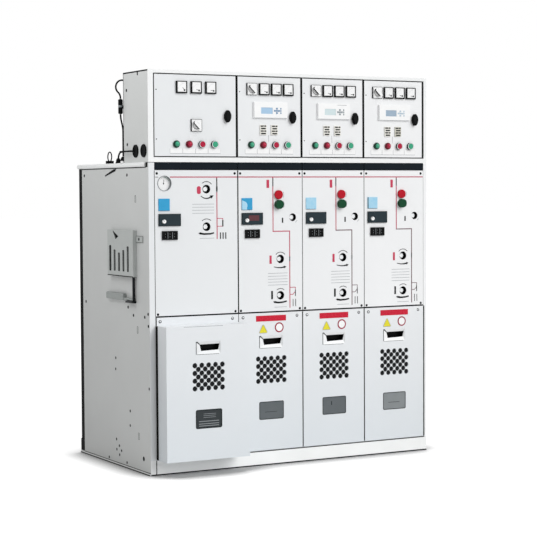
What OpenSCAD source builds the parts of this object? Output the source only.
// Ring main unit with four bays, low-voltage box on top and a deep first cable cover
// All sizes in millimetres, front faces -Y, origin on the floor at the centre of the anchor bolts

/* [Cabinet] */
// Width of the first bay
first_bay_w = 370; // [360:2:400]
// Width of each following bay
bay_w = 300; // [294:2:330]
// Stile beside the first bay
left_stile_w = 25; // [23:1:32]
// Stile beside the last bay
right_stile_w = 15; // [14:1:24]
// Depth from the front sheets to the rear cover
depth = 715; // [690:5:780]
// Height of the base frame
base_h = 60; // [50:1:80]
// Height of the cable section
cable_h = 567; // [560:1:600]
// Height of the mechanism section
mech_h = 580; // [576:1:620]
// Height of the label strip section
strip_h = 31; // [28:1:36]
// Height of the low-voltage box
lv_h = 362; // [358:1:390]
// Depth of the low-voltage box with its rear cover
lv_d = 235; // [230:1:300]
// Depth of the low-voltage rear cover
lv_rear_d = 32; // [28:1:36]

/* [Sheet metal] */
// Thickness of the folded sheets
sheet = 2; // [1.5:0.1:2.5]
// Depth of the folded edge of covers and doors
fold = 20; // [19:0.5:21]
// Gap between neighbouring covers
seam = 3; // [2:0.5:4]
// Gap between neighbouring low-voltage doors
door_gap = 5; // [5:0.5:7]
// Height of the skirt round the roof plate
skirt = 18; // [14:1:22]
// Overhang of the roof skirt past the side panels
roof_lip = 2.5; // [2.5:0.1:4]
// Depth of the dark rear cover seen from the side
rear_d = 40; // [30:1:50]
// How far the deep first cable cover stands out
deep_d = 95; // [60:1:120]
// Height of the flat flange above the deep cover
deep_flange = 33; // [30:1:40]

/* [Base frame] */
// Thickness of the base channel
base_t = 4; // [3:0.5:5]
// Width of the base channel flange
base_flange = 50; // [46:1:60]
// Anchor holes in from each side
anchor_side = 30; // [28:0.5:34]
// Anchor holes in from the front and the rear
anchor_end = 27.5; // [26:0.5:34]
// Diameter of the anchor holes
anchor_d = 14; // [12:1:16]

/* [Fits] */
// Running clearance on the radius
run = 0.05; // [0.03:0.01:0.08]
// Free clearance round a part that passes a sheet
slack = 0.5; // [0.4:0.1:0.8]
// Gap between pieces that are bolted or stuck face to face
gap = 0.2; // [0.1:0.05:0.3]

/* [Cable covers] */
// Diameter of the vent holes
vent_d = 18.5; // [14:0.5:19]
// Vent holes apart along a row
vent_pitch = 30.4; // [28:0.2:32]
// Width of the pull recess
pull_w = 104; // [90:1:115]
// Height of the pull recess
pull_h = 48; // [44:1:54]
// Depth of the pull recess
pull_d = 30; // [26:1:36]
// Width of the inspection window
window_w = 112; // [100:1:125]
// Height of the inspection window
window_h = 71; // [60:1:80]
// Corner radius of the inspection window
window_r = 5; // [3:1:16]
// Pull recess below the top of the section
pull_drop = 120; // [116:1:124]
// Vents below the top of the section
vent_drop = 234.5; // [230:0.5:240]
// Window below the top of the section
window_drop = 402; // [396:1:410]

/* [Mechanism] */
// Hole in the cover over an operating shaft
shaft_hole_d = 35; // [34:0.5:38]
// Diameter of the shaft head
shaft_head_d = 26; // [24:0.5:28]
// Diameter of the shaft journal
shaft_d = 20; // [16:0.5:22]
// Corner width of the six-sided shaft end
stub_d = 20; // [18:0.5:22]
// Length of the crank arm behind a shaft
crank_l = 55; // [45:1:58]
// Diameter of a breaker button
button_d = 36; // [33:0.5:38]
// How far the red button stands out
trip_out = 8; // [7.5:0.5:12]
// How far the green button stands out
close_out = 16; // [10:0.5:20]
// Diameter of the breaker button stem
stem_d = 10; // [8:0.5:12]
// Diameter of the gas gauge opening
gauge_d = 58; // [54:1:62]
// Height of the cable bushings above the base
terminal_h = 460; // [452:1:468]
// Height of the cable rail above the base
rail_h = 190; // [180:1:200]
// Height of the earth bar above the base
earth_h = 80; // [70:1:90]

/* [Low-voltage devices] */
// Side of a square meter or switch plate
meter_w = 48; // [46:0.5:50]
// Diameter of a lamp or button collar
collar_d = 29; // [28:0.5:31]
// Diameter of a push-button cap
cap_d = 23; // [21:0.5:24]
// Travel of a push-button
cap_travel = 4; // [3:0.2:4.2]
// Width of the protection relay
relay_w = 157; // [150:1:160]
// Height of the protection relay
relay_h = 66; // [60:1:70]
// Width of the oval latch
latch_w = 28; // [25:0.5:30]
// Height of the oval latch
latch_h = 49; // [44:0.5:52]

/* [Side fittings] */
// How far the lever pocket stands off the side
pocket_d = 17; // [16:0.5:20]
// Length of the lever pocket
pocket_l = 254; // [240:1:270]
// Height of the lever pocket
pocket_h = 186; // [180:1:200]
// Width of the slots in the lever pocket
slot_w = 9; // [5:0.5:11]
// Diameter of the lever rod
lever_d = 11; // [9:0.5:12]
// Diameter of the control cables
cable_d = 7; // [6:0.5:8]
// Lifting eyes behind the front
eye_back = 515; // [500:1:530]

/* [Hidden] */
$fn = 48;
bays = [1, 2, 3, 4];
breaker_bays = [2, 3, 4];
total_w = left_stile_w + first_bay_w + 3 * bay_w + right_stile_w;
xl = -total_w / 2;
xr = total_w / 2;
yf = -depth / 2;
yr = depth / 2;
z_cable = base_h + cable_h;
z_mech = z_cable + mech_h;
z_lv = z_mech + strip_h;
z_top = z_lv + lv_h;
z_roof = z_lv - sheet;
y_side = yr - rear_d;
cover_d = fold + 2;
function bay_l(k) = xl + left_stile_w + (k == 1 ? 0 : first_bay_w + (k - 2) * bay_w);
function bay_wd(k) = k == 1 ? first_bay_w : bay_w;
function bay_r(k) = bay_l(k) + bay_wd(k);
function bay_c(k) = bay_l(k) + bay_wd(k) / 2;

// Tank and mechanism
tank_y = yf + 190;
tank_z = base_h + 360;
tank_back = y_side - 6;
tank_t = 3;
leg_w = 40;
plate_y = yf + 75;
plate_t = 5;
boss_l = 25;
shaft_back = 150;
stub_l = 30;
post_w = 14;
crank_y = 108;
crank_t = 10;
terminal_z = base_h + terminal_h;
terminal_pitch = 84;
terminal_l = 112;

// Heights on the mechanism cover, measured down from its top
gauge_z = z_mech - 53;
film_z = z_mech - 137;
indicator_z = z_mech - 197;
test_z = z_mech - 258;
trip_z = z_mech - 100;
close_z = trip_z - button_d - 4;
charge_z = z_mech - 193;
function shaft_x(k) = bay_c(k) + (k == 1 ? 43.5 : 45);
function isolator_z(k) = z_mech - (k == 1 ? 76 : 363);
function earthing_z(k) = z_mech - (k == 1 ? 226 : 512);
function button_x(k) = bay_c(k) + 36.5;
function charge_x(k) = bay_c(k) + 104;
function gauge_x() = bay_c(1) - 141;
function film_x(k) = bay_l(k) + 41;
function indicator_x(k) = bay_l(k) + 64.5;
function test_x(k) = bay_l(k) + 64.5;
film_w = 48;
indicator_w = 96;
indicator_h = 48;
test_w = 67;
test_h = 35;

// Heights on the cable cover, measured down from its top
pull_z = z_cable - pull_drop;
vent_z = z_cable - vent_drop;
window_z = z_cable - window_drop;

// Low-voltage doors
opening_z0 = z_lv + 19;
opening_z1 = z_top - 13;
door_z0 = opening_z0 + 3.5;
door_z1 = opening_z1 - 3.5;
stop_y = fold + 2;
stop_w = 12;
pin_in = 4.5;
pin_d = 6;
lug_l = 8;
function door_l(k) = bay_l(k) + door_gap / 2;
function door_r(k) = bay_r(k) - door_gap / 2;
function hinge_x(k) = door_l(k) + pin_in;
hinge_y = yf + pin_in;
meter_z = z_lv + 295.5;
relay_z = z_lv + 211.5;
latch_z = z_lv + 183.5;
link_z = z_lv + 132;
lamp_z = z_lv + 71;
function selector_x(k) = bay_c(k) + (k == 1 ? 0 : -84);
function selector_z(k) = k == 1 ? z_lv + 146 : meter_z;
function meter_xs(k) = k == 1 ? [-64.5, 0, 64.5] : [-28, 28, 84];
function latch_x(k) = bay_r(k) - 47;
lamp_xs = [-88, -32];
open_dx = 24;
close_dx = 80;
link_xs = [-33, 19];
meter_out = 6;
meter_body = 44;
meter_deep = 55;
relay_out = 6;
link_out = 4;
lamp_out = 5;
barrel_d = 22;
cap_t = 5;
cap_seat = 1.5;
cap_out = cap_seat + cap_travel + 0.5 + cap_t;
collar_out = cap_out - 1.5;
cap_stem_d = 12;
knob_t = 14.5;
knob_gap = 0.5;
latch_stem_d = 16;
tongue_y = 28;
tongue_t = 3;
tongue_w = 14;
tongue_l = 43;
selector_stem_d = 8;
selector_rest = 45;
selector_out = 18;
selector_seat = 8;

// Side pocket and stored lever
pocket_y0 = yf + 116;
pocket_z1 = z_mech - 239;
pocket_z0 = pocket_z1 - pocket_h;
lever_x = xl - pocket_d / 2;
lever_y = pocket_y0 + 15;
lever_z = pocket_z0 - 91;
lever_top = pocket_z1 - 66;
grip_y0 = lever_y + 90;
grip_l = 172;
grip_h = 28;
slot_tops = [118, 102, 91, 102, 118];
notch_y = 196;
notch_z = 5;

// Roof eyes and control cable routes
eye_x = 60;
eye_y = yf + eye_back;
eye_r = 20;
eye_wire = 5;
y_back = yf + lv_d;
gland_d = 22;
gland_h = 26;
grommet_d = 52;
grommet_ys = [40, 116];
grommet_z = z_lv + 45;
rise_y = y_back + 14;
riser_x = xl + 4;
joint_x = xl - 6;
joint_z0 = z_lv + 197;
joint_z1 = z_lv + 258;
joint_d = 19;
port_z = z_lv + 296;
roof_gland_h = 12;
roof_gland_x = xl + 14;
roof_gland_y = y_back + 58 + 4 * cable_d;
butt = 1;
slant = 3;
side_y = yf + grommet_ys[1];
bend_r = 4 * cable_d;
lean = 50;
ux = [1, 0, 0];
uy = [0, 1, 0];
uz = [0, 0, 1];
function arc(c, r, u, v, a0, a1, n) =
    [for (i = [0 : n]) let (a = a0 + (a1 - a0) * i / n) c + r * (cos(a) * u + sin(a) * v)];
// Sideways shift in a smooth wave between two points
function shift(p, q, u, n) =
    [for (i = [1 : n]) let (t = i / n, w = (1 - cos(180 * t)) / 2, d = q - p, along = d - (d * u) * u)
        p + t * along + w * (d * u) * u];

riser_bend = [riser_x, rise_y, z_lv + 130];
riser_route = concat(
    [for (i = [0 : 3]) [riser_x, rise_y, z_lv + gland_h + butt + i * 26]],
    [riser_bend],
    shift(riser_bend, [joint_x, rise_y, joint_z0 - 4], ux, 5),
    [[joint_x, rise_y, joint_z0 - butt]]);

loop_c1 = [joint_x - bend_r, rise_y, joint_z1 + 5];
loop_c2 = loop_c1 + 2 * bend_r * (cos(lean) * ux + sin(lean) * uz);
leg_x = loop_c2[0] + bend_r;
loop_route = concat(
    [[joint_x, rise_y, joint_z1 + butt]],
    arc(loop_c1, bend_r, ux, uz, 0, lean - 10, 2),
    arc(loop_c2, bend_r, ux, uz, 170 + lean, 0, 11),
    [[leg_x, rise_y, port_z + butt]]);

side_c = [xl - 5 - slant, side_y, grommet_z] + bend_r * (ux + uy) / sqrt(2);
run_x = side_c[0] - bend_r;
side_bend = [run_x, y_back - 8, grommet_z];
side_drop = [roof_gland_x, y_back + 58, grommet_z];
side_route = concat(
    arc(side_c, bend_r, ux, uy, 225, 180, 2),
    [for (t = [0.34, 0.67, 1]) [run_x, side_c[1] + t * (side_bend[1] - side_c[1]), grommet_z]],
    shift(side_bend, side_drop, ux, 6),
    arc(side_drop - bend_r * uz, bend_r, uy, uz, 68, 0, 3),
    [[roof_gland_x, roof_gland_y, z_lv + roof_gland_h + butt]]);

// Shared shapes

module box(x0, x1, y0, y1, z0, z1) {
    translate([x0, y0, z0]) cube([x1 - x0, y1 - y0, z1 - z0]);
}

// Round bar along Y from y0 to y1
module bar_y(x, z, d, y0, y1) {
    translate([x, y0, z]) rotate([-90, 0, 0]) cylinder(d = d, h = y1 - y0);
}

// Square-cornered bar along Y, centred on x and z
module block_y(x, z, w, h, y0, y1) {
    box(x - w / 2, x + w / 2, y0, y1, z - h / 2, z + h / 2);
}

module round_rect(w, h, r) {
    square([w - 2 * r, h], center = true);
    square([w, h - 2 * r], center = true);
    for (sx = [-1, 1], sz = [-1, 1])
        translate([sx * (w / 2 - r), sz * (h / 2 - r)]) circle(r = r);
}

// Oval bar along Y with round ends, centred on x and z
module oval_y(x, z, w, h, y0, y1) {
    translate([x, y1, z]) rotate([90, 0, 0]) linear_extrude(y1 - y0) {
        square([w, h - w], center = true);
        for (s = [-1, 1])
            translate([0, s * (h - w) / 2]) circle(d = w);
    }
}

// Lens-shaped bar along Y with blunted tips, centred on x and z
module lens_y(x, z, w, h, y0, y1) {
    tip = 1.08 * h;
    r = (tip * tip + w * w) / (4 * w);
    intersection() {
        bar_y(x - r + w / 2, z, 2 * r, y0, y1);
        bar_y(x + r - w / 2, z, 2 * r, y0, y1);
        bar_y(x, z, h, y0, y1);
    }
}

// Round-cornered bar along Y, centred on x and z
module pad_y(x, z, w, h, r, y0, y1) {
    translate([x, y1, z]) rotate([90, 0, 0]) linear_extrude(y1 - y0) round_rect(w, h, r);
}

// Folded sheet with its face at y0 and an open back at y1
module pan(x0, x1, y0, y1, z0, z1) {
    difference() {
        box(x0, x1, y0, y1, z0, z1);
        box(x0 + sheet, x1 - sheet, y0 + sheet, y1 + 1, z0 + sheet, z1 - sheet);
    }
}

// Smooth curve through the route points
function spline_at(p, i, t) =
    let (n = len(p) - 1,
         a = p[max(i - 1, 0)],
         b = p[i],
         c = p[i + 1],
         d = p[min(i + 2, n)])
    0.5 * (2 * b + (c - a) * t + (2 * a - 5 * b + 4 * c - d) * t * t
        + (3 * b - a - 3 * c + d) * t * t * t);
function spline(p, m) = concat(
    [for (i = [0 : len(p) - 2], j = [0 : m - 1]) spline_at(p, i, j / m)],
    [p[len(p) - 1]]);
function unit(v) = v / norm(v);

// Round cable swept along a route
module cable(route, d) {
    sides = 10;
    p = spline(route, 4);
    n = len(p);
    aim = unit([0.6, -0.7, 0.4]);
    rings = [for (i = [0 : n - 1])
        let (t = unit(p[min(i + 1, n - 1)] - p[max(i - 1, 0)]),
             u = unit(cross(t, aim)),
             v = cross(t, u))
        for (j = [0 : sides - 1])
            p[i] + d / 2 * (cos(360 * j / sides) * u + sin(360 * j / sides) * v)];
    walls = [for (i = [0 : n - 2], j = [0 : sides - 1])
        let (k = (j + 1) % sides)
        each [[i * sides + j, (i + 1) * sides + k, i * sides + k],
              [i * sides + j, (i + 1) * sides + j, (i + 1) * sides + k]]];
    first = [[for (j = [0 : sides - 1]) j]];
    last = [[for (j = [sides - 1 : -1 : 0]) (n - 1) * sides + j]];
    polyhedron(points = rings, faces = concat(walls, first, last));
}

// Base, sides, rear and roof

module base_frame() {
    color("#E4E6E8") {
        difference() {
            box(xl, xr, yf, yr, 0, base_h);
            box(xl + base_t, xr - base_t, yf + base_t, yr - base_t, base_t, base_h - base_t);
            box(xl + base_flange, xr - base_flange, yf + base_flange, yr - base_flange, -1, base_h + 1);
            for (sx = [-1, 1], sy = [-1, 1])
                translate([sx * (xr - anchor_side), sy * (yr - anchor_end), -1])
                    cylinder(d = anchor_d, h = base_t + 2);
        }
        for (k = breaker_bays) {
            box(bay_l(k) - leg_w / 2, bay_l(k) + leg_w / 2, yf + base_flange - 1, yr - base_flange + 1,
                base_h - base_t, base_h);
            box(bay_l(k) - base_t / 2, bay_l(k) + base_t / 2, yf + base_t - 1, yr - base_t + 1,
                1, base_h - 1);
        }
    }
}

module left_side_panel() {
    color("#E4E6E8")
    difference() {
        box(xl, xl + left_stile_w, yf, y_side, base_h, z_roof);
        box(xl + sheet, xl + left_stile_w + 1, yf + sheet, y_side - sheet, base_h - 1, z_roof + 1);
    }
}

module right_side_panel() {
    color("#E4E6E8")
    difference() {
        box(xr - right_stile_w, xr, yf, y_side, base_h, z_roof);
        box(xr - right_stile_w - 1, xr - sheet, yf + sheet, y_side - sheet, base_h - 1, z_roof + 1);
    }
}

module rear_panel() {
    color("#26292B")
    translate([0, y_side + yr, 0]) mirror([0, 1, 0])
        pan(xl + 3, xr - 3, y_side, yr, base_h, z_roof);
}

module lifting_eye(side) {
    x = side * (total_w / 2 - eye_x);
    translate([x, eye_y, z_lv + gap]) cylinder(d = 34, h = 14);
    translate([x, eye_y, z_lv + 11 + eye_r]) rotate([0, 90, 0])
        rotate_extrude() translate([eye_r, 0]) circle(d = eye_wire, $fn = 24);
}

module roof_plate() {
    color("#E4E6E8")
    translate([0, 0, z_lv]) mirror([0, 0, 1])
        difference() {
            box(xl - roof_lip, xr + roof_lip, yf + 26, yr, 0, skirt);
            box(xl, xr, yf + 26 + sheet, yr + 1, sheet, skirt + 1);
            for (x = [xl, xr - sheet - gap])
                box(x, x + sheet + gap, yf + 25, yr, sheet, skirt + 1);
        }
    color("#2A2C2E") lifting_eye(-1);
    color("#2A2C2E") lifting_eye(1);
}

module label_strip() {
    color("#101820")
    for (k = bays)
        difference() {
            box(bay_l(k) + seam / 2, bay_r(k) - seam / 2, yf, yf + 26, z_mech + 1.5, z_lv - 1);
            box(bay_l(k), bay_r(k), yf + 3, yf + 27, z_mech + 4, z_lv - 3.5);
        }
}

// Frame behind the covers and the covers of the mechanism section

// Posts behind the seams and rails above and below the mechanism covers
module frame_bars(wall, y0, y1, ends) {
    for (k = breaker_bays)
        box(bay_l(k) - post_w + wall, bay_l(k) + post_w - wall, y0, y1, base_h - ends, z_mech + ends);
    box(bay_l(1) + seam - ends, bay_r(4) - seam + ends, y0, y1,
        z_cable - post_w + wall, z_cable + post_w - wall);
    box(bay_l(1) + seam - ends, bay_r(4) - seam + ends, y0, y1,
        z_mech - post_w + wall, z_mech - wall);
}

module front_frame() {
    color("#C9CCCD")
    difference() {
        frame_bars(0, yf + cover_d, yf + cover_d + 20, 0);
        frame_bars(sheet, yf + cover_d + sheet, yf + cover_d + 21, 1);
    }
}

module front_cover(k) {
    difference() {
        pan(bay_l(k) + seam / 2, bay_r(k) - seam / 2, yf, yf + cover_d, z_cable + seam / 2, z_mech - 1);
        for (z = [isolator_z(k), earthing_z(k)])
            bar_y(shaft_x(k), z, shaft_hole_d, yf - 1, yf + sheet + 1);
        block_y(film_x(k), film_z, film_w - 3, film_w - 3, yf - 1, yf + sheet + 1);
        block_y(indicator_x(k), indicator_z, indicator_w - 5, indicator_h - 5, yf - 1, yf + sheet + 1);
        block_y(test_x(k), test_z, test_w - 6, test_h - 6, yf - 1, yf + sheet + 1);
        if (k == 1)
            bar_y(gauge_x(), gauge_z, gauge_d, yf - 1, yf + sheet + 1);
        if (k > 1) {
            for (z = [trip_z, close_z])
                bar_y(button_x(k), z, button_d + 2 * slack, yf - 1, yf + sheet + 1);
            bar_y(charge_x(k), charge_z, shaft_hole_d - 3, yf - 1, yf + sheet + 1);
        }
    }
}

module front_covers() {
    color("#E9EBEE")
    for (k = bays)
        front_cover(k);
}

// Gauge, voltage indicators, test sockets and guide tubes on the mechanism covers

module guide_tube(x, z, d) {
    difference() {
        bar_y(x, z, d + 10, yf + sheet, yf + 32);
        bar_y(x, z, d, yf, yf + 33);
    }
}

module gas_gauge() {
    difference() {
        bar_y(gauge_x(), gauge_z, gauge_d + 12, yf + sheet, yf + 48);
        bar_y(gauge_x(), gauge_z, gauge_d, yf, yf + 10);
    }
}

module voltage_indicator(k) {
    block_y(indicator_x(k), indicator_z, indicator_w, indicator_h, yf - 5, yf);
    block_y(indicator_x(k), indicator_z, indicator_w - 6, indicator_h - 6, yf - 1, yf + 60);
    bar_y(indicator_x(k) - 27, indicator_z - 6, 15, yf - 12, yf - 4);
}

module test_socket(k) {
    difference() {
        union() {
            block_y(test_x(k), test_z, test_w, test_h, yf - 6, yf);
            block_y(test_x(k), test_z, test_w - 7, test_h - 7, yf - 1, yf + 40);
        }
        for (i = [-1, 0, 1])
            block_y(test_x(k) + i * 20, test_z, 9, 20, yf - 7, yf - 3.5);
    }
}

module blue_film(k) {
    block_y(film_x(k), film_z, film_w, film_w, yf - 3, yf);
    block_y(film_x(k), film_z, film_w - 4, film_w - 4, yf - 1, yf + 16);
}

module panel_instruments() {
    color("#20262A") gas_gauge();
    for (k = bays) {
        color("#2A3438") voltage_indicator(k);
        color("#14181B") test_socket(k);
        color("#3A9FCF") blue_film(k);
        for (z = [isolator_z(k), earthing_z(k)])
            color("#191B1D") guide_tube(shaft_x(k), z, shaft_hole_d);
        if (k > 1)
            color("#191B1D") guide_tube(charge_x(k), charge_z, shaft_hole_d - 3);
    }
}

// Gas tank, mechanism plates, bushings and the earth bar

module tank_legs(x) {
    box(x, x + leg_w, tank_y + 10, tank_y + 10 + leg_w, base_h, tank_z - gap);
    box(x, x + leg_w, tank_back - leg_w, tank_back, base_h, tank_z - gap);
}

module gas_tank() {
    x0 = xl + 10;
    x1 = xr - 10;
    z1 = z_mech - 16;
    color("#B9BDBF") {
        difference() {
            box(x0, x1, tank_y, tank_back - tank_t, tank_z, z1);
            box(x0 + tank_t, x1 - tank_t, tank_y + tank_t, tank_back, tank_z + tank_t, z1 - tank_t);
        }
        box(x0, x1, tank_back - tank_t + gap, tank_back, tank_z, z1);
    }
    color("#9EA3A5") {
        tank_legs(x0);
        for (k = breaker_bays)
            tank_legs(bay_l(k) - leg_w / 2);
        tank_legs(x1 - leg_w);
    }
}

module mechanism_plate(k) {
    x0 = bay_l(k) + 12;
    x1 = bay_r(k) - 12;
    z0 = z_cable + 18;
    z1 = z_mech - 34;
    difference() {
        union() {
            box(x0, x1, plate_y, plate_y + plate_t, z0, z1);
            box(x0, x0 + plate_t, plate_y, tank_y, z0, z1);
            box(x1 - plate_t, x1, plate_y, tank_y, z0, z1);
            for (z = [isolator_z(k), earthing_z(k)])
                bar_y(shaft_x(k), z, shaft_d + 14, plate_y - 5, plate_y - 5 + boss_l);
            if (k > 1) {
                for (z = [trip_z, close_z])
                    bar_y(button_x(k), z, stem_d + 8, plate_y - 5, plate_y - 5 + boss_l);
                bar_y(charge_x(k), charge_z, shaft_d + 10, plate_y - 5, plate_y - 5 + boss_l);
            }
        }
        for (z = [isolator_z(k), earthing_z(k)])
            bar_y(shaft_x(k), z, shaft_d + 2 * run, plate_y - 6, plate_y + boss_l);
        if (k > 1)
            for (z = [trip_z, close_z])
                bar_y(button_x(k), z, stem_d + 2 * run, plate_y - 6, plate_y + boss_l);
    }
}

// Six-sided end that the lever fits over
module hex_stub(x, z) {
    translate([x, yf + 12, z]) rotate([-90, 0, 0]) cylinder(d = stub_d, h = stub_l + 1, $fn = 6);
}

// Fixed head of the charging shaft, seen in the small opening
module charging_head(k) {
    hex_stub(charge_x(k), charge_z);
    bar_y(charge_x(k), charge_z, shaft_head_d - 3, yf + 12 + stub_l, plate_y - 5 - gap);
}

module mechanism_plates() {
    color("#C6C3B4")
    for (k = bays)
        mechanism_plate(k);
    color("#B4B8BA")
    for (k = breaker_bays)
        charging_head(k);
}

module operating_shaft(x, z) {
    color("#B4B8BA")
    difference() {
        union() {
            hex_stub(x, z);
            bar_y(x, z, shaft_head_d, yf + 12 + stub_l, plate_y - 6);
            bar_y(x, z, shaft_d, plate_y - 7, yf + shaft_back);
            bar_y(x, z, shaft_d + 12, yf + crank_y, yf + crank_y + crank_t);
            box(x - 9, x + 9, yf + crank_y, yf + crank_y + crank_t, z, z + crank_l);
            bar_y(x, z + crank_l, 18, yf + crank_y, yf + crank_y + crank_t);
        }
        bar_y(x, z + crank_l, 8, yf + crank_y - 1, yf + crank_y + crank_t + 1);
    }
}

module breaker_button(k, z, out, shade) {
    color(shade) {
        bar_y(button_x(k), z, button_d, yf - out, yf + 6);
        bar_y(button_x(k), z, button_d + 3, yf + sheet + 1, yf + sheet + 4);
        bar_y(button_x(k), z, stem_d, yf + 5, plate_y + 30);
    }
}

module bushing(x) {
    translate([x, tank_y, terminal_z]) rotate([90, 0, 0]) rotate_extrude()
        polygon([[0, 0], [40, 0], [40, 12], [35, 14], [28, terminal_l - 8], [14, terminal_l - 8],
                 [14, terminal_l], [8, terminal_l], [8, terminal_l - 30], [0, terminal_l - 30]]);
}

module cable_terminals() {
    rail_z = base_h + rail_h;
    earth_z = base_h + earth_h;
    for (k = bays, i = [-1, 0, 1])
        color("#8C3A2A") bushing(bay_c(k) + i * terminal_pitch);
    color("#C9CCCD") box(bay_l(1) + 12, bay_r(4) - 12, tank_y - 10, tank_y + 10, rail_z - 20, rail_z + 20);
    color("#B56A3A")
    difference() {
        box(bay_l(1) + 12, bay_r(4) - 12, tank_y + 4, tank_y + 10, earth_z - 20, earth_z + 20);
        for (k = bays)
            bar_y(bay_c(k), earth_z, 13, tank_y + 3, tank_y + 11);
    }
}

// Low-voltage box, its rear cover and the wiring plates inside

module hinge_lug(k, z0) {
    box(hinge_x(k) - 7, hinge_x(k) + 9, yf + sheet / 2, yf + 14, z0, z0 + lug_l);
}

module pin_hole(k, z0) {
    translate([hinge_x(k), hinge_y, z0 - 1]) cylinder(d = pin_d + 2 * run, h = lug_l + 2, $fn = 32);
}

// Box without its lugs: frame round the doors, stop frame behind them and a wall between the bays
module lv_shell(y1) {
    difference() {
        box(xl, xr, yf, y1, z_lv, z_top);
        box(xl + sheet, xr - sheet, yf + sheet, yf + stop_y, z_lv + sheet, z_top - sheet);
        box(bay_l(1) - 2, bay_r(4) + 2, yf - 1, yf + sheet + 1, opening_z0, opening_z1);
        for (k = bays) {
            box(bay_l(k) + stop_w, bay_r(k) - stop_w, yf + stop_y - 1, yf + stop_y + sheet + 1,
                opening_z0 + stop_w, opening_z1 - stop_w);
            box(k == 1 ? xl + sheet : bay_l(k) + sheet / 2, k == 4 ? xr - sheet : bay_r(k) - sheet / 2,
                yf + stop_y + sheet, y1 + 1, z_lv + sheet, z_top - sheet);
        }
        for (y = grommet_ys)
            translate([xl - 1, yf + y, grommet_z]) rotate([0, 90, 0])
                cylinder(d = grommet_d - 10, h = sheet + 2);
    }
}

module lv_box() {
    y1 = yf + lv_d - lv_rear_d;
    color("#E9EBEE")
    difference() {
        union() {
            lv_shell(y1);
            for (k = bays) {
                hinge_lug(k, opening_z0 - lug_l);
                hinge_lug(k, opening_z1);
            }
        }
        for (k = bays) {
            pin_hole(k, opening_z0 - lug_l);
            pin_hole(k, opening_z1);
        }
    }
}
module lv_rear_cover() {
    color("#D6D9DA")
    translate([0, 2 * yf + 2 * lv_d - lv_rear_d, 0]) mirror([0, 1, 0])
        pan(xl, xr, yf + lv_d - lv_rear_d, yf + lv_d, z_lv, z_top);
}

module lv_wiring_plates() {
    y1 = yf + lv_d - lv_rear_d - 12;
    y_plate = y1 - sheet;
    y_rail = y_plate - gap - 8;
    for (k = bays) {
        x0 = k == 1 ? xl + sheet : bay_l(k) + sheet / 2;
        x1 = k == 4 ? xr - sheet : bay_r(k) - sheet / 2;
        color("#D0D3D4") box(x0, x1, y_plate, y1, z_lv + 30, z_top - 30);
        for (z = [relay_z + 40, relay_z - 90])
            color("#B4B8BA") {
                box(x0 + 20, x1 - 20, y_rail, y_plate - gap, z - 12, z + 12);
                box(x0 + 20, x1 - 20, y_rail, y_rail + 1, z - 17.5, z + 17.5);
            }
        color("#8E9396") {
            box(x0 + 40, x0 + 120, y1 - 40, y_rail - gap, relay_z - 115, relay_z - 65);
            for (i = [0 : 9])
                box(x0 + 40 + i * 8, x0 + 47 + i * 8, y1 - 50, y1 - 39, relay_z - 110, relay_z - 70);
        }
        color("#DADCDD") {
            box(x0 + 40, x0 + 121, y1 - 45, y_rail - gap, relay_z, relay_z + 80);
            for (i = [0 : 2])
                box(x0 + 40 + i * 27, x0 + 66 + i * 27, y1 - 60, y1 - 44, relay_z + 15, relay_z + 65);
        }
    }
}

module lv_door(k) {
    color("#ECEEF0")
    difference() {
        union() {
            pan(door_l(k), door_r(k), yf, yf + fold, door_z0, door_z1);
            for (z = [door_z0 + 1, door_z1 - 16])
                box(door_l(k) + 1, door_l(k) + 10, yf + 1, yf + 10, z, z + 15);
            translate([hinge_x(k), hinge_y, door_z0 - 3.5 - lug_l + 1])
                cylinder(d = pin_d, h = lug_l + 5, $fn = 32);
            translate([hinge_x(k), hinge_y, door_z1 - 2])
                cylinder(d = pin_d, h = lug_l + 4.5, $fn = 32);
        }
        for (dx = meter_xs(k))
            block_y(bay_c(k) + dx, meter_z, meter_body + 1, meter_body + 1, yf - 1, yf + sheet + 1);
        for (dx = concat(lamp_xs, [open_dx, close_dx]))
            bar_y(bay_c(k) + dx, lamp_z, barrel_d + 2 * slack, yf - 1, yf + sheet + 1);
        bar_y(selector_x(k), selector_z(k), selector_stem_d + 8, yf - 1, yf + sheet + 1);
        bar_y(latch_x(k), latch_z, latch_stem_d + 2 * run, yf - 1, yf + sheet + 1);
        if (k > 1) {
            block_y(bay_c(k), relay_z, relay_w - 15, relay_h - 8, yf - 1, yf + sheet + 1);
            for (dx = link_xs)
                block_y(bay_c(k) + dx, link_z, 21, 31, yf - 1, yf + sheet + 1);
        }
    }
}

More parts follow.
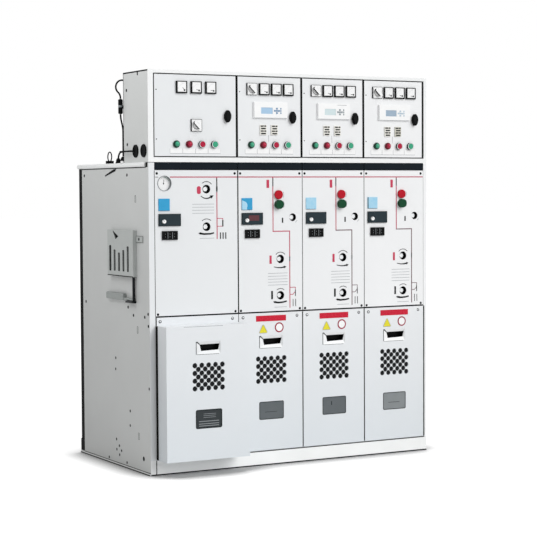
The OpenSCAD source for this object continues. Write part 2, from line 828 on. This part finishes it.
module lv_instruments(k) {
    for (dx = meter_xs(k))
        color("#1A1D20")
        difference() {
            union() {
                block_y(bay_c(k) + dx, meter_z, meter_w, meter_w, yf - meter_out, yf);
                block_y(bay_c(k) + dx, meter_z, meter_body, meter_body, yf - 1, yf + meter_deep);
            }
            block_y(bay_c(k) + dx + 1, meter_z + 1, meter_w - 10, meter_w - 8, yf - meter_out - 1,
                yf - meter_out + 1.5);
        }
    for (i = [0, 1])
        color(i == 0 ? "#1F8F4A" : "#C8152B") {
            bar_y(bay_c(k) + lamp_xs[i], lamp_z, collar_d, yf - lamp_out, yf);
            bar_y(bay_c(k) + lamp_xs[i], lamp_z, barrel_d, yf - 1, yf + 42);
            translate([bay_c(k) + lamp_xs[i], yf - lamp_out, lamp_z]) sphere(d = cap_d);
        }
    for (dx = [open_dx, close_dx])
        color("#C9CCCD")
        difference() {
            union() {
                bar_y(bay_c(k) + dx, lamp_z, collar_d, yf - collar_out, yf);
                bar_y(bay_c(k) + dx, lamp_z, barrel_d, yf - 1, yf + 42);
            }
            bar_y(bay_c(k) + dx, lamp_z, cap_d + 2 * run, yf - collar_out - 1, yf - cap_seat);
            bar_y(bay_c(k) + dx, lamp_z, cap_stem_d + 2 * run, yf - 2, yf + 28);
        }
    color("#F2F2F0")
    difference() {
        union() {
            block_y(selector_x(k), selector_z(k), meter_w, meter_w, yf - 4, yf);
            bar_y(selector_x(k), selector_z(k), selector_stem_d + 7, yf - 1, yf + sheet + 1);
            block_y(selector_x(k), selector_z(k), 42, 42, yf + sheet, yf + 50);
        }
        bar_y(selector_x(k), selector_z(k), selector_stem_d + 2 * run, yf - 5, yf + 36);
    }
    if (k > 1) {
        color("#F2F2F0")
        difference() {
            union() {
                block_y(bay_c(k), relay_z, relay_w, relay_h, yf - relay_out, yf);
                block_y(bay_c(k), relay_z, relay_w - 17, relay_h - 10, yf - 1, yf + 85);
            }
            block_y(bay_c(k) - 17, relay_z - 2, 54, 26, yf - relay_out - 1, yf - relay_out + 1.5);
        }
        for (dx = link_xs)
            color("#CDBE98") {
                block_y(bay_c(k) + dx, link_z, 30, 40, yf - link_out, yf);
                block_y(bay_c(k) + dx, link_z, 20, 30, yf - 1, yf + 22);
            }
    }
}

module lv_latch(k) {
    color("#15171A") {
        lens_y(latch_x(k), latch_z, latch_w, latch_h, yf - knob_gap - knob_t + 3, yf - knob_gap);
        lens_y(latch_x(k), latch_z, latch_w - 6, latch_h - 8, yf - knob_gap - knob_t, yf - knob_gap - 5);
        bar_y(latch_x(k), latch_z, latch_stem_d, yf - knob_gap - 1, yf + tongue_y + tongue_t);
        box(latch_x(k) - tongue_w / 2, latch_x(k) + tongue_w / 2, yf + tongue_y, yf + tongue_y + tongue_t,
            latch_z, latch_z + tongue_l);
    }
}

module lv_selector(k) {
    x = selector_x(k);
    z = selector_z(k);
    color("#15171A") {
        bar_y(x, z, 28, yf - selector_seat, yf - 4.5);
        translate([x, 0, z]) rotate([0, -selector_rest, 0])
            oval_y(0, 0, 11, 40, yf - selector_out, yf - selector_seat + 0.5);
        bar_y(x, z, selector_stem_d, yf - selector_seat, yf + 32);
    }
}

module push_cap(k, dx, shade) {
    color(shade) {
        bar_y(bay_c(k) + dx, lamp_z, cap_d, yf - cap_out, yf - cap_out + cap_t);
        bar_y(bay_c(k) + dx, lamp_z, cap_stem_d, yf - cap_out + cap_t - 1, yf + 20);
    }
}

// Cable covers

// Seven staggered rows of vent holes
module vents(x, y) {
    for (r = [-3 : 3])
        let (n = abs(r) % 2 == 1 ? 5 : 4)
            for (i = [0 : n - 1])
                bar_y(x + (i - (n - 1) / 2) * vent_pitch, vent_z + r * vent_pitch / 2, vent_d,
                    y - 1, y + sheet + 1);
}

// Side outline of the pull recess with its rising floor
module pull_side(wall, ahead) {
    polygon([[-ahead, pull_z - pull_h / 2 - wall], [0, pull_z - pull_h / 2 - wall],
             [pull_d + wall, pull_z - pull_h / 2 + 18 - wall],
             [pull_d + wall, pull_z + pull_h / 2 + wall], [-ahead, pull_z + pull_h / 2 + wall]]);
}

module pull_block(x, y, w, wall, ahead) {
    translate([x - w / 2, y, 0]) rotate([90, 0, 90]) linear_extrude(w) pull_side(wall, ahead);
}

module cover_window(x, y) {
    pad_y(x, window_z, window_w + 12, window_h + 12, window_r, y + sheet + gap, y + sheet + 3);
    pad_y(x, window_z, window_w - 2 * slack, window_h - 2 * slack, window_r - slack,
        y + 0.5, y + sheet + 1);
}

// Openings of a cable cover face whose front lies at y
module cover_openings(x, y) {
    vents(x, y);
    pull_block(x, y, pull_w, 0, 1);
    pad_y(x, window_z, window_w, window_h, window_r, y - 1, y + sheet + 1);
}

module cable_cover(k) {
    x0 = bay_l(k) + seam / 2;
    x1 = bay_r(k) - seam / 2;
    y = k == 1 ? yf - deep_d : yf;
    z0 = base_h + 2;
    z1 = z_cable - seam / 2;
    z_deep = z_cable - deep_flange;
    color("#E9EBEE")
    difference() {
        union() {
            if (k == 1) {
                pan(x0, x1, y, yf + cover_d, z0, z_deep);
                pan(x0, x1, yf, yf + cover_d, z_deep - sheet, z1);
            } else {
                pan(x0, x1, yf, yf + cover_d, z0, z1);
            }
            pull_block(bay_c(k), y + sheet / 2, pull_w + 2 * sheet, sheet, 0);
        }
        cover_openings(bay_c(k), y);
    }
    color("#5C6163") cover_window(bay_c(k), y);
}

// Side pocket, stored lever and control cables

module lever_pocket() {
    y1 = pocket_y0 + pocket_l;
    color("#D3D6D6")
    union() {
        difference() {
            box(xl - pocket_d, xl, pocket_y0, y1, pocket_z0, pocket_z1);
            box(xl - pocket_d + sheet, xl + 1, pocket_y0 + sheet, y1 - sheet,
                pocket_z0 - 1, pocket_z1 - sheet);
            for (i = [0 : 4])
                box(xl - pocket_d - 1, xl - pocket_d + sheet + 1,
                    pocket_y0 + pocket_l * (0.2 + 0.172 * i) - slot_w / 2,
                    pocket_y0 + pocket_l * (0.2 + 0.172 * i) + slot_w / 2,
                    pocket_z0 + 23, pocket_z0 + slot_tops[i]);
            translate([xl - pocket_d - 1, pocket_y0 + notch_y, pocket_z1 - notch_z]) rotate([90, 0, 90])
                linear_extrude(sheet + 2) polygon([[0, 0], [-26, -31], [-49, -21]]);
        }
        box(xl - 3, xl, pocket_y0 - 63, pocket_y0 + 1, pocket_z1 - 48, pocket_z1 - 21);
    }
    color("#B4B8BA") box(xl - pocket_d, xl, lever_y - 6, lever_y + 64, lever_z - 14, lever_z - 6);
}

module operating_lever() {
    color("#3A3D40") {
        translate([lever_x, lever_y, lever_z]) cylinder(d = lever_d, h = lever_top - lever_z);
        translate([lever_x, lever_y, lever_z]) sphere(d = lever_d);
        bar_y(lever_x, lever_z, lever_d, lever_y, grip_y0 + 10);
        translate([lever_x, grip_y0 + grip_l, lever_z + 7]) rotate([90, 0, 0])
            linear_extrude(grip_l) round_rect(pocket_d - 4, grip_h, 5);
    }
}

module grommet(y) {
    translate([xl - 5, yf + y, grommet_z]) rotate([0, 90, 0]) cylinder(d = grommet_d, h = 5);
    translate([xl - 1, yf + y, grommet_z]) rotate([0, 90, 0])
        cylinder(d = grommet_d - 10 - 2 * slack, h = sheet + 0.5);
}

module control_cables() {
    color("#17191B") {
        for (y = grommet_ys)
            grommet(y);
        translate([riser_x, rise_y, z_lv]) cylinder(d = gland_d, h = gland_h);
        translate([roof_gland_x, roof_gland_y, z_lv]) cylinder(d = gland_d - 4, h = roof_gland_h);
        translate([joint_x, rise_y, joint_z0]) cylinder(d = joint_d, h = joint_z1 - joint_z0);
        box(joint_x, riser_x + 12, y_back, rise_y, joint_z0 + 22, joint_z0 + 36);
        box(leg_x - 12, leg_x + 12, y_back, rise_y + 12, port_z - 38, port_z - 8);
        translate([leg_x, rise_y, port_z - 9]) cylinder(d = cable_d + 8, h = 9);
        cable(side_route, cable_d);
        cable(riser_route, cable_d);
        cable(loop_route, cable_d);
    }
}

base_frame();
left_side_panel();
right_side_panel();
rear_panel();
roof_plate();
lv_box();
lv_rear_cover();
lv_wiring_plates();
gas_tank();
mechanism_plates();
front_covers();
front_frame();
label_strip();
panel_instruments();
cable_terminals();
lever_pocket();
control_cables();
operating_lever();
lv_door(1);  // lv_door_1
lv_door(2);  // lv_door_2
lv_door(3);  // lv_door_3
lv_door(4);  // lv_door_4
lv_instruments(1);  // lv_instruments_1
lv_instruments(2);  // lv_instruments_2
lv_instruments(3);  // lv_instruments_3
lv_instruments(4);  // lv_instruments_4
lv_latch(1);  // lv_latch_1
lv_latch(2);  // lv_latch_2
lv_latch(3);  // lv_latch_3
lv_latch(4);  // lv_latch_4
lv_selector(1);  // lv_selector_1
lv_selector(2);  // lv_selector_2
lv_selector(3);  // lv_selector_3
lv_selector(4);  // lv_selector_4
push_cap(1, open_dx, "#C8152B");  // lv_open_button_1
push_cap(2, open_dx, "#C8152B");  // lv_open_button_2
push_cap(3, open_dx, "#C8152B");  // lv_open_button_3
push_cap(4, open_dx, "#C8152B");  // lv_open_button_4
push_cap(1, close_dx, "#1F8F4A");  // lv_close_button_1
push_cap(2, close_dx, "#1F8F4A");  // lv_close_button_2
push_cap(3, close_dx, "#1F8F4A");  // lv_close_button_3
push_cap(4, close_dx, "#1F8F4A");  // lv_close_button_4
cable_cover(1);  // cable_cover_1
cable_cover(2);  // cable_cover_2
cable_cover(3);  // cable_cover_3
cable_cover(4);  // cable_cover_4
breaker_button(2, trip_z, trip_out, "#C8152B");  // trip_button_2
breaker_button(3, trip_z, trip_out, "#C8152B");  // trip_button_3
breaker_button(4, trip_z, trip_out, "#C8152B");  // trip_button_4
breaker_button(2, close_z, close_out, "#0F5A35");  // close_button_2
breaker_button(3, close_z, close_out, "#0F5A35");  // close_button_3
breaker_button(4, close_z, close_out, "#0F5A35");  // close_button_4
operating_shaft(shaft_x(1), isolator_z(1));  // isolator_shaft_1
operating_shaft(shaft_x(2), isolator_z(2));  // isolator_shaft_2
operating_shaft(shaft_x(3), isolator_z(3));  // isolator_shaft_3
operating_shaft(shaft_x(4), isolator_z(4));  // isolator_shaft_4
operating_shaft(shaft_x(1), earthing_z(1));  // earthing_shaft_1
operating_shaft(shaft_x(2), earthing_z(2));  // earthing_shaft_2
operating_shaft(shaft_x(3), earthing_z(3));  // earthing_shaft_3
operating_shaft(shaft_x(4), earthing_z(4));  // earthing_shaft_4
